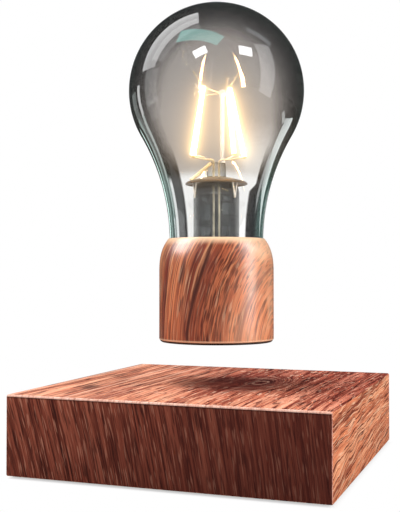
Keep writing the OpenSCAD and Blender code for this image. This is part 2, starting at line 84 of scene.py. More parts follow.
class Tree:
    """One material and its nodes."""

    def __init__(self, name):
        self.mat = bpy.data.materials.new(name)
        self.mat.use_nodes = True
        self.nt = self.mat.node_tree
        self.nt.nodes.clear()
        self.out = self.new("ShaderNodeOutputMaterial")

    def new(self, kind, **props):
        n = self.nt.nodes.new(kind)
        for k, v in props.items():
            setattr(n, k, v)
        return n

    def put(self, sock, v):
        if isinstance(v, S):
            self.nt.links.new(v.s, sock)
        elif isinstance(v, bpy.types.NodeSocket):
            self.nt.links.new(v, sock)
        elif sock.type == "RGBA" and len(v) == 3:
            sock.default_value = (*v, 1.0)
        else:
            sock.default_value = v

    def point(self):
        """x, y, z of the surface point, in metres, carried along with the piece."""
        tc = self.new("ShaderNodeTexCoord")
        sep = self.new("ShaderNodeSeparateXYZ")
        self.nt.links.new(tc.outputs["Object"], sep.inputs[0])
        return tuple(S(self, sep.outputs[i]) for i in range(3))

    def vec(self, x, y, z):
        n = self.new("ShaderNodeCombineXYZ")
        for i, v in enumerate((x, y, z)):
            self.put(n.inputs[i], v)
        return S(self, n.outputs[0])

    def noise(self, vec, scale=1.0, detail=2.0, rough=0.5, twist=0.0):
        n = self.new("ShaderNodeTexNoise")
        self.put(n.inputs["Vector"], vec)
        n.inputs["Scale"].default_value = scale
        n.inputs["Detail"].default_value = detail
        n.inputs["Roughness"].default_value = rough
        n.inputs["Distortion"].default_value = twist
        return S(self, n.outputs[0])

    def cells(self, vec, scale=1.0, feature="F1"):
        n = self.new("ShaderNodeTexVoronoi", feature=feature)
        self.put(n.inputs["Vector"], vec)
        n.inputs["Scale"].default_value = scale
        return S(self, n.outputs["Distance"])

    def ramp(self, fac, stops, how="LINEAR"):
        n = self.new("ShaderNodeValToRGB")
        n.color_ramp.interpolation = how
        els = n.color_ramp.elements
        while len(els) < len(stops):
            els.new(0.5)
        for e, (p, c) in zip(els, stops):
            e.position = p
            e.color = (*c, 1.0) if len(c) == 3 else c
        self.put(n.inputs["Fac"], fac)
        return S(self, n.outputs["Color"])

    def step(self, v, low, high, a=0.0, b=1.0):
        """v mapped from low..high to a..b, with smooth ends."""
        n = self.new("ShaderNodeMapRange", interpolation_type="SMOOTHSTEP")
        self.put(n.inputs["Value"], v)
        for k, x in (("From Min", low), ("From Max", high), ("To Min", a), ("To Max", b)):
            self.put(n.inputs[k], x)
        return S(self, n.outputs["Result"])

    def mix(self, fac, a, b, blend="MIX"):
        n = self.new("ShaderNodeMix", data_type="RGBA", blend_type=blend)
        ins = [s for s in n.inputs if s.enabled]
        self.put(ins[0], fac)
        self.put(ins[1], a)
        self.put(ins[2], b)
        return S(self, [s for s in n.outputs if s.enabled][0])

    def bump(self, height, strength, distance, normal=None):
        n = self.new("ShaderNodeBump")
        n.inputs["Strength"].default_value = strength
        n.inputs["Distance"].default_value = distance
        self.put(n.inputs["Height"], height)
        if normal is not None:
            self.put(n.inputs["Normal"], normal)
        return S(self, n.outputs["Normal"])

    def facing(self):
        n = self.new("ShaderNodeLayerWeight")
        n.inputs["Blend"].default_value = 0.5
        return S(self, n.outputs["Facing"])

    def bsdf(self, **values):
        n = self.new("ShaderNodeBsdfPrincipled")
        for k, v in values.items():
            self.put(n.inputs[k.replace("_", " ")], v)
        return n.outputs[0]

    def done(self, surface, volume=None):
        self.nt.links.new(surface, self.out.inputs["Surface"])
        if volume is not None:
            self.nt.links.new(volume, self.out.inputs["Volume"])
        return self.mat


# ---------------------------------------------------------------- mesh helpers

def link(obj):
    scene.collection.objects.link(obj)
    return obj


def mesh_object(name, bm, mats, sharp=32.0):
    """An object from a bmesh, smooth but for edges sharper than the angle given."""
    bmesh.ops.recalc_face_normals(bm, faces=bm.faces)
    for f in bm.faces:
        f.smooth = True
    for e in bm.edges:
        if len(e.link_faces) == 2 and e.calc_face_angle(0.0) > math.radians(sharp):
            e.smooth = False
    me = bpy.data.meshes.new(name)
    bm.to_mesh(me)
    bm.free()
    for m in mats:
        me.materials.append(m)
    return link(bpy.data.objects.new(name, me))


def lathe(profile, n=160, close=True, bm=None):
    """Revolves (radius, height) points in millimetres about Z. A radius of 0 closes on the axis."""
    bm = bm or bmesh.new()
    rings = []
    for r, z in profile:
        if r < 1e-6:
            rings.append([bm.verts.new((0, 0, z * MM))])
        else:
            rings.append([bm.verts.new((r * MM * math.cos(2 * math.pi * k / n), r * MM * math.sin(2 * math.pi * k / n), z * MM)) for k in range(n)])
    pairs = list(zip(rings, rings[1:]))
    if close:
        pairs.append((rings[-1], rings[0]))
    for a, b in pairs:
        if len(a) == 1 and len(b) == 1:
            continue
        for k in range(n):
            j = (k + 1) % n
            if len(a) == 1:
                bm.faces.new((a[0], b[k], b[j]))
            elif len(b) == 1:
                bm.faces.new((a[k], a[j], b[0]))
            else:
                bm.faces.new((a[k], a[j], b[j], b[k]))
    return bm


def smooth_path(points, per=6):
    """A Catmull-Rom curve through the points."""
    p = [Vector(q) for q in points]
    p = [p[0] * 2 - p[1]] + p + [p[-1] * 2 - p[-2]]
    out = []
    for i in range(1, len(p) - 2):
        for k in range(per):
            t = k / per
            a, b, c, d = p[i - 1], p[i], p[i + 1], p[i + 2]
            out.append(0.5 * ((2 * b) + (c - a) * t + (2 * a - 5 * b + 4 * c - d) * t * t + (3 * b - a - 3 * c + d) * t ** 3))
    out.append(p[-2])
    return out


def tube(bm, path, radius, n=14, tip=True):
    """A round wire along a path in metres, with rounded ends."""
    path = [Vector(q) for q in path]
    radii = [radius] * len(path)
    if tip:
        d0 = (path[0] - path[1]).normalized()
        d1 = (path[-1] - path[-2]).normalized()
        head = [(path[0] + d0 * radius * s, radius * math.sqrt(max(0.0, 1 - s * s))) for s in (0.95, 0.75, 0.45)]
        tail = [(path[-1] + d1 * radius * s, radius * math.sqrt(max(0.0, 1 - s * s))) for s in (0.45, 0.75, 0.95)]
        path = [q for q, _ in head] + path + [q for q, _ in tail]
        radii = [r for _, r in head] + radii + [r for _, r in tail]
    normal = None
    rings = []
    for i, q in enumerate(path):
        t = (path[min(i + 1, len(path) - 1)] - path[max(i - 1, 0)]).normalized()
        if normal is None:
            normal = t.orthogonal().normalized()
        normal = (normal - t * normal.dot(t)).normalized()
        other = t.cross(normal)
        rings.append([bm.verts.new(q + radii[i] * (math.cos(2 * math.pi * k / n) * normal + math.sin(2 * math.pi * k / n) * other)) for k in range(n)])
    for a, b in zip(rings, rings[1:]):
        for k in range(n):
            j = (k + 1) % n
            bm.faces.new((a[k], a[j], b[j], b[k]))
    bm.faces.new(rings[0][::-1])
    bm.faces.new(rings[-1])


def stand_for(obj, node, body):
    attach(obj, body)
    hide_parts(node)
    return obj


# ---------------------------------------------------------------- camera

AZ, EL = math.radians(20.326), math.radians(-1.207)
RIGHT = Vector((math.cos(AZ), math.sin(AZ), 0.0))
BACK = Vector((math.sin(AZ) * math.cos(EL), -math.cos(AZ) * math.cos(EL), math.sin(EL)))
UP = BACK.cross(RIGHT)
TOWARDS = Vector((math.sin(AZ), -math.cos(AZ), 0.0))
Z = Vector((0, 0, 1))

cam_data = bpy.data.cameras.new("camera")
cam_data.sensor_width = 36.0
cam_data.lens = 62.84
cam_data.clip_start = 0.01
cam_data.clip_end = 50.0
camera = link(bpy.data.objects.new("camera", cam_data))
target = RIGHT * (-6.9 * MM) + Z * (84.76 * MM)
place = target + BACK * 0.37604
camera.matrix_world = Matrix((
    (RIGHT.x, UP.x, BACK.x, place.x),
    (RIGHT.y, UP.y, BACK.y, place.y),
    (RIGHT.z, UP.z, BACK.z, place.z),
    (0, 0, 0, 1)))
scene.camera = camera


# ---------------------------------------------------------------- wood

def grain(t, u, v, pal, seed=0.0, wander=1.0, band=90.0, line=360.0, dash=80.0, fleck=90.0,
          short_by=1.0, lines=0.6, rings=1.0, dashes=0.8, flecks=0.6, pit=(0.42, 0.32), spark=(0.58, 0.68), spread=(0.30, 0.70),
          cut=(0.46, 0.28), show=(0.55, 0.72), tone=None, shade=None, dark=None, lift=None):
    """Colour and height of a lacquered veneer. u runs across the grain and v along it, in metres.
    pal holds the pale, light, middle, dark and pore colours. band and line count the features in a
    metre across the grain, dash and fleck those in a metre along it, and short_by cuts all streaks. pit and spark are
    the levels at which pores and pale flecks set in, spread that of the bands, cut and show those of the fine lines. tone, dark and lift, where they are 1, pull the colour to the dark,
    the pore and the pale colour, and shade deepens it."""
    pale, light, mid, deep, pore = pal
    slow = t.noise(t.vec(u * 14.0, v * 7.0, seed), detail=2.0)
    quick = t.noise(t.vec(u * 80.0, v * 24.0, seed + 3.0), detail=2.0)
    a = u + (slow - 0.5) * (0.010 * wander) + (quick - 0.5) * (0.0024 * wander)
    zones = t.noise(t.vec(a * band, v * 4.0, seed + 7.0), detail=2.0, rough=0.55)
    growth = t.noise(t.vec(a * line, v * (12.0 * short_by), seed + 11.0), detail=1.0)
    fine = t.noise(t.vec(a * (line * 2.3), v * (28.0 * short_by), seed + 13.0), detail=2.0, rough=0.6)
    fibre = t.noise(t.vec(a * (line * 4.0), v * 60.0, seed + 17.0), detail=1.0)
    short = t.noise(t.vec(a * (line * 2.0), v * dash, seed + 23.0), detail=1.0)
    glint = t.noise(t.vec(a * (line * 2.1), v * fleck, seed + 29.0), detail=1.0)
    col = t.ramp(t.step(zones, *spread), [(0.0, deep), (0.28, mid), (0.60, mid), (1.0, light)])
    col = t.mix(t.step(growth, 0.50, 0.30) * (lines * 0.7), col, deep)
    col = t.mix(t.step(growth, 0.52, 0.70) * (lines * 0.8), col, light)
    ring = t.step((growth - 0.45).abs(), 0.040, 0.008)
    col = t.mix(ring * (lines * rings), col, pore)
    col = t.mix(t.step(fine, *cut) * (lines * 0.9), col, deep)
    col = t.mix(t.step(fine, *show) * (lines * 0.8), col, light)
    if shade is not None:
        col = t.mix(shade, col, t.mix(1.0, col, (0.56, 0.40, 0.43), "MULTIPLY"))
    pits = t.step(short, *pit)
    col = t.mix(pits * dashes, col, pore)
    lit = t.step(glint, *spark)
    col = t.mix(lit * flecks, col, pale)
    col = t.mix(t.step(fibre, 0.32, 0.68, 0.30, 0.0), col, t.mix(1.0, col, (0.55, 0.50, 0.47), "MULTIPLY"))
    if tone is not None:
        col = t.mix(tone, col, deep)
    if dark is not None:
        col = t.mix(dark, col, pore)
    if lift is not None:
        col = t.mix(lift, col, pale)
    height = 1.0 - ring * 0.3 - pits * 0.7 + lit * 0.2 + (fibre - 0.5) * 0.3
    return col, height, pits


def wood_face(name, uv, pal, rough=0.46, spec=0.25, coat=0.0, bump=0.3, **kw):
    t = Tree(name)
    x, y, z = t.point()
    u, v, extra = uv(t, x, y, z)
    col, height, pits = grain(t, u, v, pal, **{**kw, **extra})
    sheen = t.noise(t.vec(x, y, z), scale=60.0, detail=3.0)
    values = dict(
        Base_Color=col,
        Roughness=t.step(sheen, 0.3, 0.7, rough - 0.06, rough + 0.08) + pits * 0.12,
        Specular_IOR_Level=spec,
        Normal=t.bump(height, bump, 0.00012),
    )
    if coat:
        values.update(Coat_Weight=coat, Coat_Roughness=0.30, Coat_IOR=1.6)
    return t.done(t.bsdf(**values))


# Top: the grain runs from front to back and bends round one small knot. A smaller one lies near the front left.
KNOT = (17.4 * MM, 6.4 * MM)
PIN_KNOT = (-42.6 * MM, -32.0 * MM)


def top_uv(t, x, y, z):
    kx = x - KNOT[0]
    ky = (y - KNOT[1]) * 0.45
    d = (kx * kx + ky * ky).sqrt()
    near = t.step(d, 0.016, 0.0015)
    bend = t.noise(t.vec(x * 9.0, y * 5.0, 2.0), detail=1.0)
    u = x + (bend - 0.5) * 0.010
    u = u * (1.0 - near) + d * 0.8 * near
    core = t.step(d, 0.0020, 0.0008) * 0.9
    core = core.max(t.step((d - 0.0042).abs(), 0.0011, 0.0003) * 0.7)
    pale = t.step((d - 0.0028).abs(), 0.0007, 0.0002) * 0.28
    # Painted shadow of the floating bulb: a dark patch centred left of and behind the knot, a fainter band to its left
    # and a strip along the front edge. Where they meet, it deepens the knot's own dark wood.
    shadow_x = kx + 0.007
    shadow_y = ky - 0.0018
    shadow_dist = (shadow_x * shadow_x + shadow_y * shadow_y).sqrt()
    painted_bulb_shadow = (t.step(shadow_dist, 0.027, 0.004) * 0.66).max(t.step(kx, -0.008, -0.022) * t.step(kx, -0.058, -0.038) * 0.15)
    painted_bulb_shadow = painted_bulb_shadow.max(t.step(y, -0.026, -0.048) * t.step(x, -0.056, -0.036) * t.step(x, 0.050, 0.034) * 0.24)
    px = x - PIN_KNOT[0] + (y - PIN_KNOT[1]) * 0.06
    py = (y - PIN_KNOT[1]) * 0.45
    pin = (px * px + py * py).sqrt() + (bend - 0.5) * 0.004
    spot = t.step(pin, 0.0050, 0.0016) * 0.9
    # darker towards the right and the back
    right = t.step(x + (bend - 0.5) * 0.03 + y * 0.75, -0.030, 0.058)
    # a few long lines, pale beside dark
    long = t.noise(t.vec((x + (bend - 0.5) * 0.008) * 330.0, y * 2.2, 41.0), detail=0.0)
    near_right = t.step(x, 0.010, 0.045, 0.25, 1.0)
    pale = pale.max(t.step(long, 0.60, 0.72) * near_right * 0.42)
    core = core.max(t.step(long, 0.40, 0.28) * near_right * 0.6)
    wide = t.noise(t.vec((x + (bend - 0.5) * 0.008) * 330.0, y * 2.6, 43.0), detail=0.0)
    near_left = t.step(x, -0.008, -0.036)
    pale = pale.max(t.step(wide, 0.55, 0.64) * near_left * 0.50)
    pale = pale.max(near_left * 0.05)
    core = core.max(t.step(wide, 0.45, 0.36) * near_left * 0.28)
    # the same painted shadow, deepening the wood's colour under the bulb
    painted_shadow_patch = t.step(shadow_dist, 0.031, 0.012)
    return u, y, {"tone": painted_bulb_shadow, "shade": right.max(painted_shadow_patch), "dark": core.max(spot), "lift": pale, "dashes": t.step(x + (bend - 0.5) * 0.04, -0.040, 0.0, 0.40, 0.85), "flecks": t.step(x + (bend - 0.5) * 0.04, -0.040, 0.010, 0.10, 0.6) * t.step(x, 0.022, 0.048, 1.0, 0.45)}


def edge_uv(t, x, y, z):
    return x, y, {"flecks": 0.1}


# Front and back: the veneer turns down over the edge, and the streaks lean.
def front_uv(t, x, y, z):
    cloud = t.noise(t.vec(x * 24.0, z * 16.0, y * 3.0), detail=2.0)
    right = t.step(x + (cloud - 0.5) * 0.05, -0.050, 0.040) * 0.63
    rim = t.step(z, 0.0300, 0.0309) * 0.7
    return x + z * (0.19 - x * 1.5), z, {"tone": right + t.step(cloud, 0.58, 0.72) * 0.12, "dark": rim, "flecks": t.step(x, -0.02, 0.03, 0.6, 0.62)}


# Sides: the grain runs level, in short wavy strokes.
def side_uv(t, x, y, z):
    wave = t.noise(t.vec(y * 70.0, z * 90.0, x * 3.0), detail=2.0)
    steep = t.step(z, 0.022, 0.002) * 0.10
    return z - y * (0.04 + steep) + (wave - 0.5) * 0.0030, y, {}


wood_top = wood_face(
    "wood_top", top_uv,
    (lin(255, 204, 176), lin(254, 184, 148), lin(222, 134, 102), lin(122, 50, 40), lin(78, 31, 27)),
    seed=1.0, line=340.0, band=130.0, dash=90.0, fleck=120.0, lines=0.95, spread=(0.24, 0.76), cut=(0.48, 0.36), show=(0.53, 0.64), wander=0.35, spec=0.12, rough=0.5)
wood_front = wood_face(
    "wood_front", front_uv,
    (lin(206, 138, 112), lin(180, 98, 74), lin(138, 64, 46), lin(76, 27, 20), lin(46, 17, 14)),
    seed=37.0, line=740.0, band=300.0, dash=100.0, fleck=115.0, short_by=1.7, lines=0.72, dashes=0.65, spread=(0.25, 0.75), cut=(0.48, 0.36), show=(0.53, 0.64), wander=0.35, spec=0.2, rough=0.5)
wood_side = wood_face(
    "wood_side", side_uv,
    (lin(255, 206, 168), lin(246, 168, 124), lin(222, 132, 92), lin(136, 64, 44), lin(106, 46, 32)),
    seed=61.0, line=780.0, band=150.0, dash=46.0, fleck=50.0, cut=(0.48, 0.36), show=(0.53, 0.64), short_by=1.3, lines=0.5, rings=0.0, dashes=0.9, flecks=0.55, pit=(0.48, 0.39), spark=(0.55, 0.65), wander=0.25, spec=0.2, rough=0.5)
# pale pink bevel colours: a painted highlight along the top front and back edges, and another down the front-right
# corner
wood_edge_highlight = wood_face(
    "wood_edge_highlight", edge_uv,
    (lin(255, 226, 212), lin(250, 208, 190), lin(238, 182, 160), lin(196, 128, 104), lin(150, 88, 70)),
    seed=11.0, line=500.0, band=120.0, dash=120.0, lines=0.35, dashes=0.25, spec=0.25, rough=0.42)
wood_corner_highlight = wood_face(
    "wood_corner_highlight", side_uv,
    (lin(250, 206, 188), lin(240, 182, 160), lin(222, 154, 132), lin(176, 104, 84), lin(134, 72, 56)),
    seed=71.0, line=420.0, band=120.0, dash=150.0, lines=0.5, dashes=0.4, flecks=0.4, spec=0.4, rough=0.34)


def collar_uv(t, x, y, z):
    """Rings about a point low on one side, so the streaks stand upright on the far side and lean over near it.
    Two of the rings are dark."""
    turn = math.radians(5.0)
    c, s = math.cos(turn), math.sin(turn)
    along = x * c + y * s
    across = y * c - x * s
    arc = across.atan2(along) * 0.024
    up = (z - 0.045) * 0.634
    d = (arc * arc + up * up).sqrt()
    wob = t.noise(t.vec(x * 110.0, y * 110.0, z * 40.0), detail=3.0)
    e = d + (wob - 0.5) * 0.0036
    swing = up.atan2(arc)
    turnabout = swing * t.step(d, 0.006, 0.034, 0.007, 0.030)
    aside = t.step(swing, 2.05, 2.36)
    hair = t.noise(t.vec(e * 1700.0, turnabout * 200.0, 5.0), detail=1.0)
    left = t.step(swing, 1.97, 2.23)
    first = t.step((e - 0.0434).abs(), 0.0011, 0.0002) * left * 0.9
    shade = t.step((e - 0.0430).abs(), 0.0034, 0.0004) * left * 0.30
    strokes = t.step((e - 0.0361).abs(), 0.0080, 0.0010) * t.step(hair, 0.53, 0.42) * t.step(aside, 0.0, 1.0, 0.12, 0.72)
    between = t.step(e, 0.0318, 0.0373) * t.step(e, 0.0458, 0.0433) * aside * 0.38
    # painted highlight: a pale line along the collar's bottom edge, and a pale painted reflection along its top edge
    rim = (t.step(z, 0.0508, 0.0503) * 0.8).max(t.step(z, 0.0885, 0.0916) * 0.85)
    calm = t.step(d, 0.023, 0.041, 0.42, 0.70)
    # paler wood near the rings' centre, which also paints in part of the highlight there; the second part is a painted
    # highlight on the upper shoulder away from the left
    pale_and_painted_highlight = t.step(d, 0.037, 0.019) * t.step(wob, 0.35, 0.60, 0.10, 0.30)
    pale_and_painted_highlight = pale_and_painted_highlight.max((1.0 - left) * t.step(z, 0.078, 0.086) * t.step(wob, 0.35, 0.60, 0.35, 0.60))
    return d * 1.1, turnabout, {"tone": between.max(shade), "dark": first.max(strokes), "lift": rim.max(pale_and_painted_highlight), "lines": calm}


wood_collar = wood_face(
    "wood_collar", collar_uv,
    (lin(255, 210, 170), lin(250, 177, 123), lin(234, 133, 83), lin(144, 55, 33), lin(78, 27, 18)),
    seed=91.0, line=540.0, band=110.0, dash=190.0, fleck=190.0, short_by=1.6, dashes=0.72, flecks=0.36, pit=(0.45, 0.35), cut=(0.48, 0.36), show=(0.53, 0.64), wander=0.6,
    rough=0.40, spec=0.3, coat=1.0, bump=0.25)


# ---------------------------------------------------------------- base block

W, H0, H1 = 62.5, 0.8, 31.6
bm = bmesh.new()
bmesh.ops.create_cube(bm, size=1.0)
for v in bm.verts:
    v.co = Vector((v.co.x * 2 * W * MM, v.co.y * 2 * W * MM, ((H0 + H1) / 2 + v.co.z * (H1 - H0)) * MM))
bmesh.ops.bevel(bm, geom=bm.edges[:], offset=0.75 * MM, segments=3, profile=0.5, affect="EDGES")
for f in bm.faces:
    n = f.normal
    at = f.calc_center_median()
    # the top front and back bevels take the painted edge highlight, and the front-right upright bevel takes the painted
    # corner highlight
    if abs(n.z) < 0.999 and at.z > (H1 - 0.76) * MM and n.z > 0.01 and abs(n.y) > abs(n.x):
        f.material_index = 3
    elif abs(n.z) < 0.5 and 0.5 < abs(n.x) < 0.86 and at.x > 0 and at.y < 0:
        f.material_index = 4
    else:
        f.material_index = 0 if abs(n.z) >= max(abs(n.x), abs(n.y)) else (1 if abs(n.y) > abs(n.x) else 2)
base_block = mesh_object("base_block", bm, [wood_top, wood_front, wood_side, wood_edge_highlight, wood_corner_highlight], sharp=40.0)

cut = bmesh.new()


def cut_box(x0, x1, y0, y1, z0, z1):
    made = bmesh.ops.create_cube(cut, size=1.0)["verts"]
    for v in made:
        v.co = Vector(((x0 if v.co.x < 0 else x1) * MM, (y0 if v.co.y < 0 else y1) * MM, (z0 if v.co.z < 0 else z1) * MM))


def cut_round(centre, axis, r, depth):
    m = Matrix.Translation(Vector(centre) * MM) @ Vector(axis).to_track_quat("Z", "Y").to_matrix().to_4x4()
    bmesh.ops.create_cone(cut, cap_ends=True, segments=64, radius1=r * MM, radius2=r * MM, depth=depth * MM, matrix=m)


def carve(obj):
    """Takes the cutters away from the block, and keeps the outcome as its mesh."""
    global cut
    me = bpy.data.meshes.new("cutter")
    cut.to_mesh(me)
    cut.free()
    cut = bmesh.new()
    tool = link(bpy.data.objects.new("cutter", me))
    mod = obj.modifiers.new("carve", "BOOLEAN")
    mod.operation, mod.solver, mod.object = "DIFFERENCE", "EXACT", tool
    mod.use_self = True
    bpy.context.view_layer.update()
    done = bpy.data.meshes.new_from_object(obj.evaluated_get(bpy.context.evaluated_depsgraph_get()))
    obj.modifiers.clear()
    old = obj.data
    obj.data = done
    bpy.data.meshes.remove(old)
    bpy.data.objects.remove(tool)
    bpy.data.meshes.remove(me)


cut_box(-57.5, 57.5, -57.5, 57.5, -1, 3.2)
carve(base_block)
cut_box(-55.5, 55.5, -44.5, 44.5, 2, 28.0)
carve(base_block)
cut_box(-44.5, 44.5, -55.5, 55.5, 2, 28.0)
carve(base_block)
cut_round((0, 62.5, 14), (0, 1, 0), 5.8, 3.2)
carve(base_block)
cut_round((0, 59, 14), (0, 1, 0), 4.0, 12)
carve(base_block)
cut_round((-62.5, -37, 16), (1, 0, 0), 5.1, 2.4)
carve(base_block)
cut_round((-59, -37, 16), (1, 0, 0), 1.6, 12)
carve(base_block)
base_block.data.name = "base_block"
stand_for(base_block, "base_case", "base")


# ---------------------------------------------------------------- collar

ZR, ZT = 49.8, 92.0
prof = [(21.3, ZR), (23.45, ZR)]
prof += [(23.45 + 0.55 * math.sin(a), ZR + 0.55 - 0.55 * math.cos(a)) for a in [math.radians(15 * k) for k in range(1, 7)]]
prof += [(24.0, 58.0), (24.0, 68.0)]
prof += [(24.0 - 3.8 * (k / 30) ** 3, ZT - 15.0 * (1 - k / 30)) for k in range(30)]
prof += [(20.16, 91.97), (20.06, 92.0), (19.90, 92.0), (19.82, 91.97), (19.8, 91.88), (19.8, 89.0), (21.3, 89.0)]
collar = mesh_object("collar_turned", lathe(prof), [wood_collar], sharp=38.0)
stand_for(collar, "collar", "bulb")


# ---------------------------------------------------------------- bulb glass

GR, GZ, NR, NZ, GT = 36.8, 153.9, 19.65, 90.5, 1.0
FL = ((GZ - NZ) ** 2 + NR ** 2 - GR ** 2) / (2 * (GR - NR))
FA = math.asin((GZ - NZ) / (GR + FL))


def glass_line(o, steps=(26, 64)):
    pts = [(NR - o, 78.0), (NR - o, 82.0), (NR - o, 86.0)]
    for i in range(steps[0] + 1):
        a = FA * i / steps[0]
        pts.append((NR + FL - (FL + o) * math.cos(a), NZ + (FL + o) * math.sin(a)))
    for i in range(1, steps[1] + 1):
        a = -FA + (math.pi / 2 + FA) * i / steps[1]
        pts.append((0.0 if i == steps[1] else (GR - o) * math.cos(a), GZ + (GR - o) * math.sin(a)))
    return pts


def see_through(t, glass, colour):
    """Lets light straight through to what lies behind, so that the glass casts next to no shadow."""
    through = t.new("ShaderNodeBsdfTransparent")
    t.put(through.inputs["Color"], colour)
    path = t.new("ShaderNodeLightPath")
    both = t.new("ShaderNodeMixShader")
    t.nt.links.new(path.outputs["Is Shadow Ray"], both.inputs[0])
    t.nt.links.new(glass, both.inputs[1])
    t.nt.links.new(through.outputs[0], both.inputs[2])
    return t.done(both.outputs[0])


# the line along which the mount's stem is pinched, seen from above
TURN = math.radians(20.0)


def along_pinch(x, y):
    return x * math.cos(TURN) + y * math.sin(TURN)


def glass_material():
    """Grey-smoked glass, deeper where it is seen on the slant, and clear in the neck. The neck's slanted walls are
    painted black with a pale teal line at the very edge, and its left side gets a painted pale line.
    """
    t = Tree("bulb_glass")
    x, y, z = t.point()
    geo = t.new("ShaderNodeNewGeometry")
    sep = t.new("ShaderNodeSeparateXYZ")
    t.nt.links.new(geo.outputs["Normal"], sep.inputs[0])
    tip = S(t, sep.outputs[2]).min(0.0)
    sideways = along_pinch(x, y)
    # how far the wall is turned away, less what comes from its own overhang
    f = 1.0 - (1.0 - t.facing()) / (1.0 - tip * tip).sqrt()
    f = f - t.step(sideways, 0.006, 0.013) * t.step(z, 0.110, 0.114) * t.step(z, 0.140, 0.128) * 0.09
    dome = t.ramp(f, [
        (0.00, (1.0, 1.0, 1.0)), (0.134, (0.97, 0.97, 0.97)), (0.20, (0.90, 0.90, 0.90)), (0.286, (0.56, 0.56, 0.565)),
        (0.362, (0.34, 0.345, 0.35)), (0.44, (0.22, 0.225, 0.23)), (0.525, (0.15, 0.155, 0.16)), (0.62, (0.11, 0.12, 0.12)), (0.80, (0.08, 0.10, 0.095)), (1.00, (0.12, 0.16, 0.15))])
    # In the neck, the black at the slant is painted refraction of dark surroundings, and the pale teal at the very edge
    # is a painted light line. The neck's left side gets one more painted pale line.
    clear, black = (0.95, 0.95, 0.94), (0.06, 0.06, 0.06)
    edge = [(0.60, (0.045, 0.09, 0.078)), (0.72, (0.12, 0.20, 0.18)), (0.86, (0.55, 0.66, 0.63)), (1.00, (0.6, 0.7, 0.68))]
    neck = t.ramp(f, [(0.00, clear), (0.196, clear), (0.222, black), (0.34, (0.040, 0.043, 0.044)), (0.41, (0.055, 0.065, 0.064)), (0.50, (0.10, 0.15, 0.14))] + edge)
    neck_painted_line = t.ramp(f, [(0.00, clear), (0.196, clear), (0.222, black), (0.30, (0.080, 0.085, 0.085)), (0.38, (0.055, 0.060, 0.060)), (0.402, (0.84, 0.86, 0.86)), (0.45, (0.80, 0.85, 0.84)), (0.48, (0.07, 0.12, 0.11))] + edge)
    neck = t.mix(t.step(sideways, -0.004, -0.012) * t.step(z, 0.1175, 0.1135), neck, neck_painted_line)
    cloud = t.noise(t.vec(x, y, z), scale=26.0, detail=2.0)
    level = z + (cloud - 0.5) * 0.003
    aside = t.step(sideways, 0.006, 0.013) * t.step(level, 0.140, 0.1215)
    smoke = t.ramp((level - 0.110) / 0.050, [
        (0.0, (0.93, 0.92, 0.91)), (0.05, (0.88, 0.86, 0.84)), (0.12, (0.66, 0.63, 0.60)), (0.19, (0.50, 0.46, 0.425)), (0.30, (0.465, 0.425, 0.39)), (0.60, (0.445, 0.408, 0.38)), (0.85, (0.40, 0.37, 0.35)), (1.0, (0.385, 0.357, 0.34))])
    smoke = t.mix(aside * 0.8, smoke, (0.84, 0.82, 0.80))
    upward = t.step(level, 0.116, 0.131)
    tint = t.mix(upward, t.mix(1.0, neck, t.mix(t.step(level, 0.1185, 0.1145), smoke, (1.0, 1.0, 1.0)), "MULTIPLY"), t.mix(1.0, dome, smoke, "MULTIPLY"))
    # the shader takes the root of its colour at each surface
    tint = t.mix(1.0, tint, tint, "MULTIPLY")
    tint = t.mix(geo.outputs["Backfacing"], tint, (0.98, 0.98, 0.98))
    return see_through(t, t.bsdf(Base_Color=tint, Roughness=0.0, IOR=1.5, Transmission_Weight=1.0), (0.95, 0.95, 0.94))


def inner_glass_material():
    """The inner face of the same glass, with faint waves from blowing."""
    t = Tree("bulb_glass_inner")
    x, y, z = t.point()
    waves = t.noise(t.vec(x * 40.0, y * 40.0, z * 18.0), detail=1.0)
    col = t.mix(t.step(waves, 0.3, 0.7), (0.985, 0.985, 0.98), (0.96, 0.965, 0.96))
    return see_through(t, t.bsdf(Base_Color=col, Roughness=0.0, IOR=1.5, Transmission_Weight=1.0), (0.98, 0.98, 0.98))


outer, inner = glass_line(0.0), glass_line(GT)
bm = lathe(outer + inner[::-1], n=192, close=True)
ring = len(outer) - 1
for i, f in enumerate(bm.faces):
    f.material_index = 0 if i < ring * 192 else 1
bulb = mesh_object("bulb_glass", bm, [glass_material(), inner_glass_material()], sharp=60.0)
stand_for(bulb, "glass_envelope", "bulb")


# ---------------------------------------------------------------- what the glass holds

ZP, ZL, ZH, ZB = 124.3, 125.0, 155.8, 153.5
ROD = (2.5, -0.1)
# each strip's lower end, its upper end, and how far its lower end is lifted
STRIPS = [(-10.6, 10, -5.85, 10.3, 3), (-9.6, -10, -5.4, -6, 0), (11.5, -8.6, 5.4, -3, 0), (7.7, 5.5, 5.05, 4.4, 3)]


def mount(x, y, z):
    """A point of the mount, given with the pinch along x, in millimetres."""
    return Vector((x * math.cos(TURN) - y * math.sin(TURN), x * math.sin(TURN) + y * math.cos(TURN), z)) * MM


def wire_material(name, light, dark, rough, metallic=1.0):
    t = Tree(name)
    x, y, z = t.point()
    tarnish = t.noise(t.vec(x, y, z), scale=420.0, detail=4.0)
    drawn = t.noise(t.vec(x * 6000.0, y * 6000.0, z * 500.0), detail=1.0)
    col = t.mix(t.step(tarnish, 0.35, 0.7), light, dark)
    return t.done(t.bsdf(Base_Color=col, Metallic=metallic, Roughness=t.step(tarnish, 0.3, 0.7, rough, rough + 0.2), Normal=t.bump(drawn, 0.2, 0.00002)))


hook_wire = wire_material("hook_wire", lin(255, 248, 228), lin(240, 224, 190), 0.38, 0.1)
wire_pale = wire_material("wire_pale", lin(248, 240, 230), lin(212, 198, 182), 0.30)
cap_metal = wire_material("cap_metal", lin(226, 214, 186), lin(170, 150, 116), 0.32)

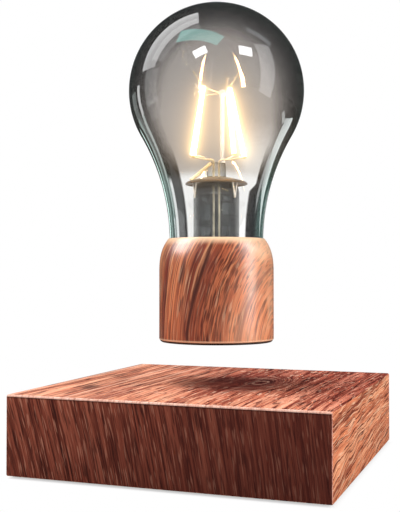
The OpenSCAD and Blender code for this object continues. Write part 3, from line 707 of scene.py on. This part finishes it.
bm = bmesh.new()
for ax, ay, bx, by, lift in STRIPS:
    r = math.hypot(bx - ROD[0], by - ROD[1])
    d = ((bx - ROD[0]) / r, (by - ROD[1]) / r)
    pts = [mount(ROD[0] + q * d[0], ROD[1] + q * d[1], ZB + h) for q, h in ((1, 0), (2.4, 0.2), (max(r - 2, 3), 1.1), (r, 2.3), (r + 1.6, 3.4), (r + 3.4, 5), (r + 5.2, 7.2))]
    tube(bm, smooth_path(pts), 0.30 * MM)
upper = mesh_object("upper_hook_wires", bm, [hook_wire], sharp=60.0)
stand_for(upper, "upper_hooks", "bulb")

bm = bmesh.new()
for ax, ay, bx, by, lift in STRIPS:
    r = math.hypot(ax, ay)
    d = (ax / r, ay / r)
    pts = [mount(q * d[0], q * d[1], ZP + h) for q, h in ((1.4, -0.7), (1.5, 0.1), (2.1, 0.8), (3.4, 1 + 0.05 * lift), (6, 0.7 + 0.4 * lift), (8.6, 0.7 + 0.85 * lift), (r - 0.2, 1.1 + lift))]
    tube(bm, smooth_path(pts), 0.32 * MM)
lower = mesh_object("lower_hook_wires", bm, [hook_wire], sharp=60.0)
stand_for(lower, "lower_hooks", "bulb")


def strip_material():
    """Phosphor over a row of small chips, lit. The chips face away from the bulb's axis, so the mirrored image of a strip's inner side is faint."""
    t = Tree("strip_glow")
    x, y, z = t.point()
    tc = t.new("ShaderNodeTexCoord")
    sep = t.new("ShaderNodeSeparateXYZ")
    t.nt.links.new(tc.outputs["Normal"], sep.inputs[0])
    outward = (S(t, sep.outputs[0]) * x + S(t, sep.outputs[1]) * y) / (x * x + y * y).sqrt()
    far_left = t.step(along_pinch(x, y), 0.0, -0.002) * t.step(z, 0.147, 0.134)
    chips = t.noise(t.vec(x, y, z), scale=900.0, detail=2.0)
    glow = t.mix(t.step(chips, 0.35, 0.65), (1.0, 0.60, 0.25), (1.0, 0.68, 0.33))
    shed = t.mix(t.step(chips, 0.35, 0.65), (1.0, 0.74, 0.45), (1.0, 0.80, 0.52))
    lamp = t.bsdf(Base_Color=glow, Roughness=0.5, Emission_Color=shed, Emission_Strength=34.0, Normal=t.bump(chips, 0.3, 0.0001))
    path = t.new("ShaderNodeLightPath")
    out = lamp
    # seen through one wall of the bulb, or mirrored in the wall behind
    straight = S(t, path.outputs["Is Camera Ray"]).max(S(t, path.outputs["Is Transmission Ray"]) * t.step(S(t, path.outputs["Transmission Depth"]), 3.4, 2.6))
    for seen, power in ((path.outputs["Is Glossy Ray"], t.step(outward, 0.0, 0.6, 4.0, 220.0) * (1.0 - far_left * 0.95)), (straight, 48.0)):
        bare = t.new("ShaderNodeEmission")
        t.put(bare.inputs["Color"], glow)
        t.put(bare.inputs["Strength"], power)
        both = t.new("ShaderNodeMixShader")
        t.put(both.inputs[0], seen)
        t.nt.links.new(out, both.inputs[1])
        t.nt.links.new(bare.outputs[0], both.inputs[2])
        out = both.outputs[0]
    return t.done(out)


bm = bmesh.new()
for ax, ay, bx, by, lift in STRIPS:
    a, b = mount(ax, ay, ZL + lift), mount(bx, by, ZH)
    d = (b - a).normalized()
    a, b = a + d * 1.2 * MM, b - d * 1.2 * MM
    path = [a + (b - a) * (k / 24) for k in range(25)]
    tube(bm, path, 0.93 * MM, n=18)
strips = mesh_object("glow_strips", bm, [strip_material()], sharp=60.0)
stand_for(strips, "light_strips", "bulb")


def worked_glass(name, tint, dusk):
    """Glass of the inner parts, a little dusky where it was worked in the flame."""
    t = Tree(name)
    x, y, z = t.point()
    seedy = t.noise(t.vec(x * 300.0, y * 300.0, z * 60.0), detail=3.0)
    col = t.mix(t.step(seedy, 0.35, 0.75), tint, dusk)
    glass = t.bsdf(Base_Color=col, Roughness=t.step(seedy, 0.4, 0.8, 0.0, 0.06), IOR=1.5, Transmission_Weight=1.0, Normal=t.bump(seedy, 0.06, 0.0002))
    return see_through(t, glass, (0.9, 0.9, 0.89))


def rod_material():
    """Opal glass, white, with faint draw lines along it."""
    t = Tree("rod_glass")
    x, y, z = t.point()
    drawn = t.noise(t.vec(x * 2600.0, y * 2600.0, z * 120.0), detail=2.0)
    col = t.mix(t.step(drawn, 0.3, 0.7), lin(236, 244, 255), lin(206, 220, 244))
    return t.done(t.bsdf(Base_Color=col, Roughness=t.step(drawn, 0.3, 0.7, 0.10, 0.24), IOR=1.5, Transmission_Weight=0.25, Normal=t.bump(drawn, 0.15, 0.00003)))


def curve2(points, per=4):
    return [(v.x, v.y) for v in smooth_path(points, per)]


def stem_material():
    """Dusky glass: its walls look black where they are seen on the slant."""
    t = Tree("stem_glass")
    x, y, z = t.point()
    seedy = t.noise(t.vec(x * 300.0, y * 300.0, z * 60.0), detail=3.0)
    col = t.ramp(t.facing() + (seedy - 0.5) * 0.08, [
        (0.0, (0.94, 0.94, 0.93)), (0.12, (0.86, 0.86, 0.85)), (0.26, (0.30, 0.30, 0.30)), (0.36, (0.18, 0.18, 0.18)), (0.5, (0.12, 0.125, 0.125)), (0.8, (0.09, 0.095, 0.095)), (1.0, (0.08, 0.085, 0.085))])
    blots = t.noise(t.vec(x * 130.0, y * 130.0, z * 90.0), detail=2.0)
    side = along_pinch(x, y) + (blots - 0.5) * 0.010
    col = t.mix(t.step(side, 0.002, 0.006), col, t.mix(1.0, col, (0.62, 0.62, 0.62), "MULTIPLY"))
    col = t.mix(t.step(blots, 0.42, 0.60), col, t.mix(1.0, col, (0.50, 0.51, 0.51), "MULTIPLY"))
    shoulder = t.step(z, 0.1090, 0.1108) * t.step(z, 0.1175, 0.1165)
    col = t.mix(shoulder * t.step((along_pinch(x, y) + 0.0002).abs(), 0.0016, 0.0026) * 0.95, col, (0.10, 0.105, 0.105))
    glass = t.bsdf(Base_Color=col, Roughness=t.step(seedy, 0.4, 0.8, 0.0, 0.06) + shoulder * 0.12, IOR=1.5, Transmission_Weight=1.0, Normal=t.bump(seedy, 0.06, 0.0002))
    return see_through(t, glass, (0.96, 0.96, 0.95))


stem_glass = stem_material()
tube_glass = worked_glass("tube_glass", (0.80, 0.80, 0.79), (0.62, 0.62, 0.61))

# the flared stem, and the flat pinch on top of it that grips the leads
flare = curve2([(18.5, 78.0), (18.4, 79.0), (17.0, 80.3), (14.6, 82.0), (12.1, 84.4), (10.8, 87.0), (10.0, 89.6), (9.7, 92.0), (9.7, 98.0), (9.7, 106.0), (9.7, 111.0)])
flare += curve2([(9.68, 111.6), (9.4, 112.9), (8.7, 114.2), (7.3, 115.6), (5.2, 116.7), (2.6, 117.0)]) + [(0.0, 117.0)]
hollow = [(0.0, 115.6)] + curve2([(2.4, 115.6), (4.6, 115.3), (6.5, 114.2), (7.7, 113.0), (8.3, 111.8), (8.5, 110.4)])
hollow += curve2([(8.5, 106.0), (8.5, 98.0), (8.5, 92.2), (8.8, 89.8), (9.5, 87.3), (11.0, 84.9), (13.6, 82.8), (15.8, 81.0), (16.65, 79.6), (16.65, 78.0)])
bm = lathe(flare + hollow, n=120)
rows = []
for z, hx, hy in ((116.8, 4.7, 2.7), (117.5, 4.3, 2.1), (118.4, 4.08, 1.78), (119.8, 4.0, 1.62), (122.0, 4.0, 1.6), (123.2, 3.95, 1.55), (123.8, 3.7, 1.35), (124.15, 3.2, 0.95), (124.3, 2.5, 0.5)):
    row = []
    for k in range(48):
        a = 2 * math.pi * k / 48
        c, q = math.cos(a), math.sin(a)
        row.append(bm.verts.new(mount(hx * math.copysign(abs(c) ** 0.6, c), hy * math.copysign(abs(q) ** 0.6, q), z)))
    rows.append(row)
for a, b in zip(rows, rows[1:]):
    for k in range(48):
        bm.faces.new((a[k], a[(k + 1) % 48], b[(k + 1) % 48], b[k]))
bm.faces.new(rows[0][::-1])
bm.faces.new(rows[-1])
stem = mesh_object("stem_flare", bm, [stem_glass], sharp=60.0)
stand_for(stem, "stem", "bulb")

bead = curve2([(1.5, 124.05), (1.12, 124.5), (0.94, 125.3), (0.9, 126.4), (0.9, 132.0), (0.9, 140.0), (0.9, 148.0), (0.9, 151.2), (1.0, 151.8), (1.36, 152.45), (1.62, 153.0), (1.7, 153.5), (1.6, 154.1), (1.24, 154.68), (0.62, 155.08)])
bm = lathe([(0.0, 124.05)] + bead + [(0.0, 155.2)], n=40, close=False)
bmesh.ops.translate(bm, verts=bm.verts, vec=mount(ROD[0], ROD[1], 0.0))
rod = mesh_object("rod_and_bead", bm, [rod_material()], sharp=60.0)
stand_for(rod, "support_rod", "bulb")


# ---------------------------------------------------------------- inner and lower pieces, as the frame holds them

def plastic(name, a, b, rough, grain_scale=900.0, bump=0.25):
    t = Tree(name)
    x, y, z = t.point()
    p = t.vec(x, y, z)
    mould = t.noise(p, scale=grain_scale, detail=3.0)
    cloud = t.noise(p, scale=40.0, detail=3.0)
    col = t.mix(t.step(cloud, 0.35, 0.7), a, b)
    return t.done(t.bsdf(Base_Color=col, Roughness=t.step(mould, 0.3, 0.7, rough - 0.08, rough + 0.1), Normal=t.bump(mould, bump, 0.00006)))


def metal(name, a, b, rough, along="z"):
    t = Tree(name)
    x, y, z = t.point()
    k = {"z": (3000.0, 3000.0, 120.0), "round": (900.0, 900.0, 900.0)}[along]
    brushed = t.noise(t.vec(x * k[0], y * k[1], z * k[2]), detail=2.0)
    cloud = t.noise(t.vec(x, y, z), scale=120.0, detail=4.0)
    col = t.mix(t.step(cloud, 0.35, 0.7), a, b)
    return t.done(t.bsdf(Base_Color=col, Metallic=1.0, Roughness=t.step(brushed, 0.3, 0.7, rough - 0.08, rough + 0.12), Normal=t.bump(brushed, 0.2, 0.00003)))


def board(name, mask, trace, seed):
    """A lacquered circuit board, with traces and solder points just under the lacquer."""
    t = Tree(name)
    x, y, z = t.point()
    p = t.vec(x + y * 0.13, y + z * 0.31, z + x * 0.07 + seed)
    bars = t.new("ShaderNodeTexBrick")
    t.put(bars.inputs["Vector"], p)
    bars.inputs["Scale"].default_value = 160.0
    bars.inputs["Mortar Size"].default_value = 0.05
    bars.inputs["Mortar Smooth"].default_value = 0.2
    lines = S(t, bars.outputs["Fac"])
    dots = t.step(t.cells(p, scale=260.0), 0.16, 0.11)
    col = t.mix(lines * 0.7, mask, trace)
    col = t.mix(dots, col, lin(196, 190, 178))
    height = lines * 0.4 + dots
    return t.done(t.bsdf(Base_Color=col, Roughness=t.step(dots, 0.0, 1.0, 0.38, 0.28), Normal=t.bump(height, 0.4, 0.00006)))


def winding(name, a, b, pitch, flat):
    """Lacquered copper wire, wound turn by turn."""
    t = Tree(name)
    x, y, z = t.point()
    r = (x * x + y * y).sqrt()
    turns = ((r if flat else z) * (6.2832 / pitch)).sin() * 0.5 + 0.5
    wander = t.noise(t.vec(x, y, z), scale=150.0, detail=3.0)
    col = t.mix(t.step(turns, 0.05, 0.6), b, t.mix(t.step(wander, 0.35, 0.7), a, b))
    return t.done(t.bsdf(Base_Color=col, Metallic=1.0, Roughness=t.step(wander, 0.3, 0.7, 0.24, 0.4), Coat_Weight=0.4, Normal=t.bump(turns, 0.6, 0.0001)))


def shield_material():
    """Thin bronze, browned by heat towards its rim."""
    t = Tree("shield_bronze")
    x, y, z = t.point()
    r = (x * x + y * y).sqrt()
    blot = t.noise(t.vec(x, y, z), scale=260.0, detail=4.0)
    spun = (r * 9000.0).sin()
    col = t.ramp(t.step(r + (blot - 0.5) * 0.003, 0.004, 0.0128), [(0.0, lin(170, 150, 116)), (0.5, lin(136, 114, 84)), (1.0, lin(98, 76, 52))])
    return t.done(t.bsdf(Base_Color=col, Metallic=0.85, Roughness=t.step(blot, 0.3, 0.7, 0.3, 0.48), Normal=t.bump(spun, 0.1, 0.00002)))


dish = curve2([(4.42, 117.6), (4.6, 117.7), (6.0, 117.66), (8.0, 117.2), (10.2, 116.6), (12.0, 116.1), (12.7, 115.7), (13.05, 115.3), (13.1, 115.0), (12.95, 114.82), (12.6, 114.95), (12.1, 115.5), (10.2, 116.05), (8.0, 116.6), (6.0, 117.08), (4.7, 117.1), (4.42, 117.2)])
shield = mesh_object("shield_dish", lathe(dish, n=120), [shield_material()], sharp=50.0)
stand_for(shield, "heat_shield", "bulb")


black_plastic = plastic("plate_black", lin(34, 34, 36), lin(46, 45, 46), 0.55)
cap_black = plastic("cap_black", lin(40, 33, 30), lin(58, 46, 40), 0.5)
finish = {
    "bottom_plate": black_plastic,
    "coil_tray": black_plastic,
    "magnet_retainer": black_plastic,
    "collar_cap": cap_black,
    "bottom_screws": metal("screw_steel", lin(196, 196, 200), lin(150, 150, 156), 0.34),
    "rubber_feet": plastic("foot_rubber", lin(38, 38, 38), lin(52, 51, 50), 0.8, 600.0, 0.5),
    "board_standoffs": plastic("nylon_white", lin(230, 227, 216), lin(216, 211, 197), 0.45),
    "coil_bobbins": plastic("bobbin_nylon", lin(228, 223, 210), lin(206, 200, 184), 0.45),
    "main_board": board("board_green", lin(22, 92, 56), lin(44, 124, 78), 0.0),
    "sensor_board": board("sensor_green", lin(20, 86, 54), lin(42, 118, 74), 0.011),
    "touch_board": board("touch_green", lin(22, 90, 56), lin(44, 122, 76), 0.023),
    "receiver_board": board("receiver_green", lin(20, 88, 54), lin(42, 120, 76), 0.037),
    "driver_board": board("board_black", lin(22, 24, 24), lin(44, 48, 48), 0.051),
    "board_components": plastic("component_dark", lin(40, 41, 44), lin(62, 62, 66), 0.42, 1200.0),
    "receiver_components": plastic("component_grey", lin(44, 45, 48), lin(66, 66, 70), 0.42, 1200.0),
    "driver_components": plastic("component_slate", lin(66, 74, 78), lin(104, 112, 116), 0.32, 1200.0),
    "hall_sensors": plastic("sensor_black", lin(30, 30, 32), lin(44, 44, 46), 0.4, 1200.0),
    "board_screws": metal("board_screw_steel", lin(206, 206, 208), lin(164, 164, 168), 0.32),
    "ring_magnet": plastic("magnet_ferrite", lin(56, 56, 60), lin(76, 75, 78), 0.6, 1500.0, 0.4),
    "levitation_magnet": metal("magnet_nickel", lin(214, 212, 206), lin(188, 186, 180), 0.2, "round"),
    "coil_cores": metal("core_iron", lin(138, 138, 142), lin(104, 104, 108), 0.4),
    "coil_windings": winding("copper_fine", lin(214, 128, 78), lin(112, 52, 28), 0.0007, False),
    "receiver_coil": winding("copper_receiver", lin(214, 128, 78), lin(112, 52, 28), 0.0008, False),
    "transmitter_coil": winding("copper_flat", lin(210, 124, 76), lin(116, 56, 30), 0.0011, True),
    "foam_ring": plastic("foam_grey", lin(58, 58, 60), lin(82, 82, 84), 0.9, 1400.0, 0.8),
    "coil_former": plastic("former_amber", lin(206, 168, 92), lin(176, 132, 62), 0.3, 300.0),
    "dc_jack": plastic("jack_black", lin(26, 26, 28), lin(38, 38, 40), 0.36, 1400.0),
    "jack_pin": metal("pin_brass", lin(226, 196, 128), lin(194, 156, 92), 0.22, "round"),
    "jack_nut": metal("nut_nickel", lin(206, 205, 202), lin(172, 171, 168), 0.28),
    "jack_leads": plastic("lead_red", lin(176, 42, 34), lin(146, 30, 26), 0.4),
    "touch_lead": plastic("lead_white", lin(224, 222, 214), lin(202, 198, 188), 0.4),
    "touch_stud": metal("stud_steel", lin(216, 216, 218), lin(184, 184, 188), 0.26),
    "neck_gasket": plastic("gasket_white", lin(222, 220, 212), lin(204, 201, 192), 0.6, 700.0),
    "exhaust_tube": tube_glass,
    "lead_wires": plastic("lead_sleeve", lin(246, 234, 208), lin(228, 212, 180), 0.4, 1400.0),
    "shield_strut": plastic("strut_glaze", lin(244, 226, 190), lin(222, 198, 156), 0.36, 1400.0),
    "shield_legs": wire_pale,
    "strip_caps": cap_metal,
}
for name, mat in finish.items():
    slots = nodes[name].material_slots
    for s in slots:
        s.material = mat
    if not slots:
        nodes[name].data.materials.append(mat)


# ---------------------------------------------------------------- stage, light and world

def floor_material():
    """A pale sweep: lit paper near the object, and plain white further off."""
    t = Tree("floor")
    x, y, z = t.point()
    d = x.abs().max(y.abs()) - 0.0625
    mottle = t.noise(t.vec(x, y, z), scale=30.0, detail=2.0)
    path = t.new("ShaderNodeLightPath")
    paper = t.mix(mottle, (0.90, 0.90, 0.90), (0.92, 0.92, 0.92))
    paper = t.mix(path.outputs["Is Diffuse Ray"], paper, (0.34, 0.34, 0.34))
    paper = t.mix(path.outputs["Is Glossy Ray"], paper, (0.06, 0.06, 0.06))
    matt = t.bsdf(Base_Color=paper, Roughness=0.9, Specular_IOR_Level=0.1)
    far = t.new("ShaderNodeEmission")
    far.inputs["Color"].default_value = (1, 1, 1, 1)
    seen = S(t, path.outputs["Is Camera Ray"]).max(S(t, path.outputs["Is Transmission Ray"]))
    both = t.new("ShaderNodeMixShader")
    t.put(both.inputs[0], t.step(d, -0.0030, 0.0020, 0.55, 1.0) * seen)
    t.nt.links.new(matt, both.inputs[1])
    t.nt.links.new(far.outputs[0], both.inputs[2])
    return t.done(both.outputs[0])


bm = bmesh.new()
bmesh.ops.create_circle(bm, cap_ends=True, segments=96, radius=8.0)
floor = mesh_object("floor", bm, [floor_material()])

CENTRE = Vector((0, 0, GZ * MM))


def softbox(name, direction, dist, size, radiance, across=None, colour=(1, 1, 1), diffuse=True, glossy=True):
    """A flat lamp that faces the bulb. direction is (right, towards the camera, up)."""
    d = (RIGHT * direction[0] + TOWARDS * direction[1] + Z * direction[2]).normalized()
    data = bpy.data.lights.new(name, "AREA")
    data.shape = "RECTANGLE"
    data.size, data.size_y = size
    data.energy = radiance * math.pi * size[0] * size[1]
    data.color = colour
    obj = link(bpy.data.objects.new(name, data))
    side = across or (RIGHT * direction[1] - TOWARDS * direction[0])
    if isinstance(side, tuple):
        side = RIGHT * side[0] + TOWARDS * side[1] + Z * side[2]
    side = (side - d * side.dot(d)).normalized()
    up = d.cross(side)
    at = CENTRE + d * dist
    obj.matrix_world = Matrix((
        (side.x, up.x, d.x, at.x),
        (side.y, up.y, d.y, at.y),
        (side.z, up.z, d.z, at.z),
        (0, 0, 0, 1)))
    obj.visible_camera = False
    obj.visible_transmission = False
    obj.visible_diffuse = diffuse
    obj.visible_glossy = glossy
    return obj


# lights that only the glass mirrors, and lights for the collar's lacquer
mirrored = bpy.data.collections.new("mirrored_in_glass")
mirrored.objects.link(bulb)
lacquered = bpy.data.collections.new("lacquered")
lacquered.objects.link(collar)


def strip_light(name, az_low, z_low, az_high, z_high, width, radiance, colour=(1, 1, 1)):
    """A tall narrow lamp beside the bulb, from one bearing and height to another. Bearings are in degrees, from the camera's side to the right."""
    ends = []
    for az, z in ((az_low, z_low), (az_high, z_high)):
        a = math.radians(az)
        ends.append((RIGHT * math.sin(a) + TOWARDS * math.cos(a)) * 0.36 + Z * z)
    mid = (ends[0] + ends[1]) / 2
    up = (ends[1] - ends[0])
    length = up.length
    up.normalize()
    d = Vector((mid.x, mid.y, 0.0)).normalized()
    d = (d - up * d.dot(up)).normalized()
    side = up.cross(d)
    data = bpy.data.lights.new(name, "AREA")
    data.shape = "RECTANGLE"
    data.size, data.size_y = width, length
    data.energy = radiance * math.pi * width * length
    data.color = colour
    obj = link(bpy.data.objects.new(name, data))
    obj.matrix_world = Matrix((
        (side.x, up.x, d.x, mid.x),
        (side.y, up.y, d.y, mid.y),
        (side.z, up.z, d.z, mid.z),
        (0, 0, 0, 1)))
    obj.visible_camera = obj.visible_transmission = obj.visible_diffuse = False
    obj.light_linking.receiver_collection = mirrored
    return obj


def to_glass(obj):
    obj.light_linking.receiver_collection = mirrored
    return obj


softbox("softbox_left", (-0.636, -0.212, 0.742), 0.9, (0.94, 0.42), 4.6, across=(0.779, 0.011, 0.626))
softbox("key_top", (-0.36, -0.10, 0.92), 1.0, (0.5, 0.5), 9.0, glossy=False)
window = softbox("window_right", (0.880, 0.350, 0.320), 0.9, (0.33, 0.92), 3.2, across=(0.342, -0.861, -0.21))
# the window leaves the stem dark
outer_only = bpy.data.collections.new("all_but_the_stem")
outer_only.objects.link(stem)
outer_only.collection_objects[0].light_linking.link_state = "EXCLUDE"
window.light_linking.receiver_collection = outer_only
softbox("fill_front", (-0.30, 0.90, 0.30), 1.0, (0.6, 0.6), 2.2, glossy=False)
softbox("fill_right", (0.93, 0.25, 0.28), 1.0, (0.5, 0.8), 5.4, glossy=False)
to_glass(softbox("spot_left", (-0.323, 0.706, 0.631), 1.0, (0.27, 0.18), 22.0, across=(0.242, 0.013, 0.111), diffuse=False))
to_glass(softbox("spot_right", (0.520, 0.569, 0.637), 1.0, (0.27, 0.20), 22.0, across=(0.215, -0.141, -0.068), diffuse=False))
to_glass(softbox("glint_top", (-0.275, 0.375, 0.885), 1.0, (0.86, 0.29), 4.4, colour=(0.30, 1.0, 0.90), diffuse=False))
for sheen in (
        softbox("sheen_left", (-0.835, 0.07, 0.55), 0.9, (0.50, 0.50), 7.5, diffuse=False),
        softbox("sheen_up_right", (0.826, 0.095, 0.555), 0.9, (0.40, 0.40), 6.0, diffuse=False),
        softbox("sheen_right", (0.950, 0.31, 0.00), 0.5, (0.14, 0.26), 4.3, diffuse=False)):
    sheen.light_linking.receiver_collection = lacquered
to_glass(softbox("softbox_left_inner", (-0.615, 0.022, 0.787), 0.9, (0.80, 0.36), 1.5, across=(0.779, 0.011, 0.626), diffuse=False))
to_glass(softbox("glint_right", (0.602, 0.017, 0.799), 1.0, (0.42, 0.13), 1.6, across=(0.70, -0.3, -0.52), colour=(0.9, 0.95, 1.0), diffuse=False))
to_glass(softbox("panel_left", (-0.99, -0.05, 0.10), 0.9, (0.36, 0.50), 1.5, diffuse=False))
strip_light("strip_left_high", -117.0, 0.085, -116.5, 0.215, 0.040, 4.5)
strip_light("strip_left_low", -125.0, 0.008, -117.5, 0.085, 0.040, 3.4, (0.9, 1.0, 0.97))
strip_light("strip_left_edge", -135.0, 0.062, -135.0, 0.112, 0.040, 1.0, (0.75, 1.0, 0.93))
strip_light("strip_left_rim", -150.0, 0.078, -151.5, 0.118, 0.050, 2.6, (0.75, 1.0, 0.93))
strip_light("strip_right_low", 114.0, 0.003, 131.0, 0.055, 0.110, 5.0, (0.92, 1.0, 0.98))
strip_light("strip_right_near", 104.0, 0.030, 106.0, 0.056, 0.080, 4.0, (0.95, 1.0, 0.99))
strip_light("panel_left_low", -92.0, 0.003, -92.0, 0.120, 0.150, 0.7)
strip_light("strip_left_dim", -132.0, 0.030, -132.0, 0.200, 0.090, 0.7, (0.9, 1.0, 0.97))

world = bpy.data.worlds.new("studio")
scene.world = world
world.use_nodes = True
wt = world.node_tree
wt.nodes.clear()
w_out = wt.nodes.new("ShaderNodeOutputWorld")
w_path = wt.nodes.new("ShaderNodeLightPath")
w_seen = wt.nodes.new("ShaderNodeMath")
w_seen.operation = "MAXIMUM"
wt.links.new(w_path.outputs["Is Camera Ray"], w_seen.inputs[0])
wt.links.new(w_path.outputs["Is Transmission Ray"], w_seen.inputs[1])
w_white = wt.nodes.new("ShaderNodeBackground")
w_white.inputs["Color"].default_value = (1, 1, 1, 1)
w_room = wt.nodes.new("ShaderNodeBackground")
w_room.inputs["Color"].default_value = (0.92, 0.95, 1.0, 1)
w_room.inputs["Strength"].default_value = 0.30
w_dim = wt.nodes.new("ShaderNodeBackground")
w_dim.inputs["Color"].default_value = (0.92, 0.97, 1.0, 1)
w_dim.inputs["Strength"].default_value = 0.05
w_gloss = wt.nodes.new("ShaderNodeMixShader")
wt.links.new(w_path.outputs["Is Glossy Ray"], w_gloss.inputs[0])
wt.links.new(w_room.outputs[0], w_gloss.inputs[1])
wt.links.new(w_dim.outputs[0], w_gloss.inputs[2])
w_mix = wt.nodes.new("ShaderNodeMixShader")
wt.links.new(w_seen.outputs[0], w_mix.inputs[0])
wt.links.new(w_gloss.outputs[0], w_mix.inputs[1])
wt.links.new(w_white.outputs[0], w_mix.inputs[2])
wt.links.new(w_mix.outputs[0], w_out.inputs["Surface"])

scene.cycles.sample_clamp_indirect = 0.0
scene.view_settings.view_transform = "Standard"
scene.view_settings.look = "None"

# the lens's bloom about the glowing strips
scene.use_nodes = True
ct = scene.node_tree
ct.nodes.clear()
layers = ct.nodes.new("CompositorNodeRLayers")
glare = ct.nodes.new("CompositorNodeGlare")
glare.glare_type = "FOG_GLOW"
glare.quality = "HIGH"
for key, val in (("Threshold", 3.0), ("Strength", 1.0), ("Size", 0.45), ("Saturation", 1.0), ("Tint", (0.95, 1.0, 0.90, 1.0))):
    if key in glare.inputs:
        glare.inputs[key].default_value = val
final = ct.nodes.new("CompositorNodeComposite")
ct.links.new(layers.outputs["Image"], glare.inputs["Image"])
ct.links.new(glare.outputs["Image"], final.inputs["Image"])
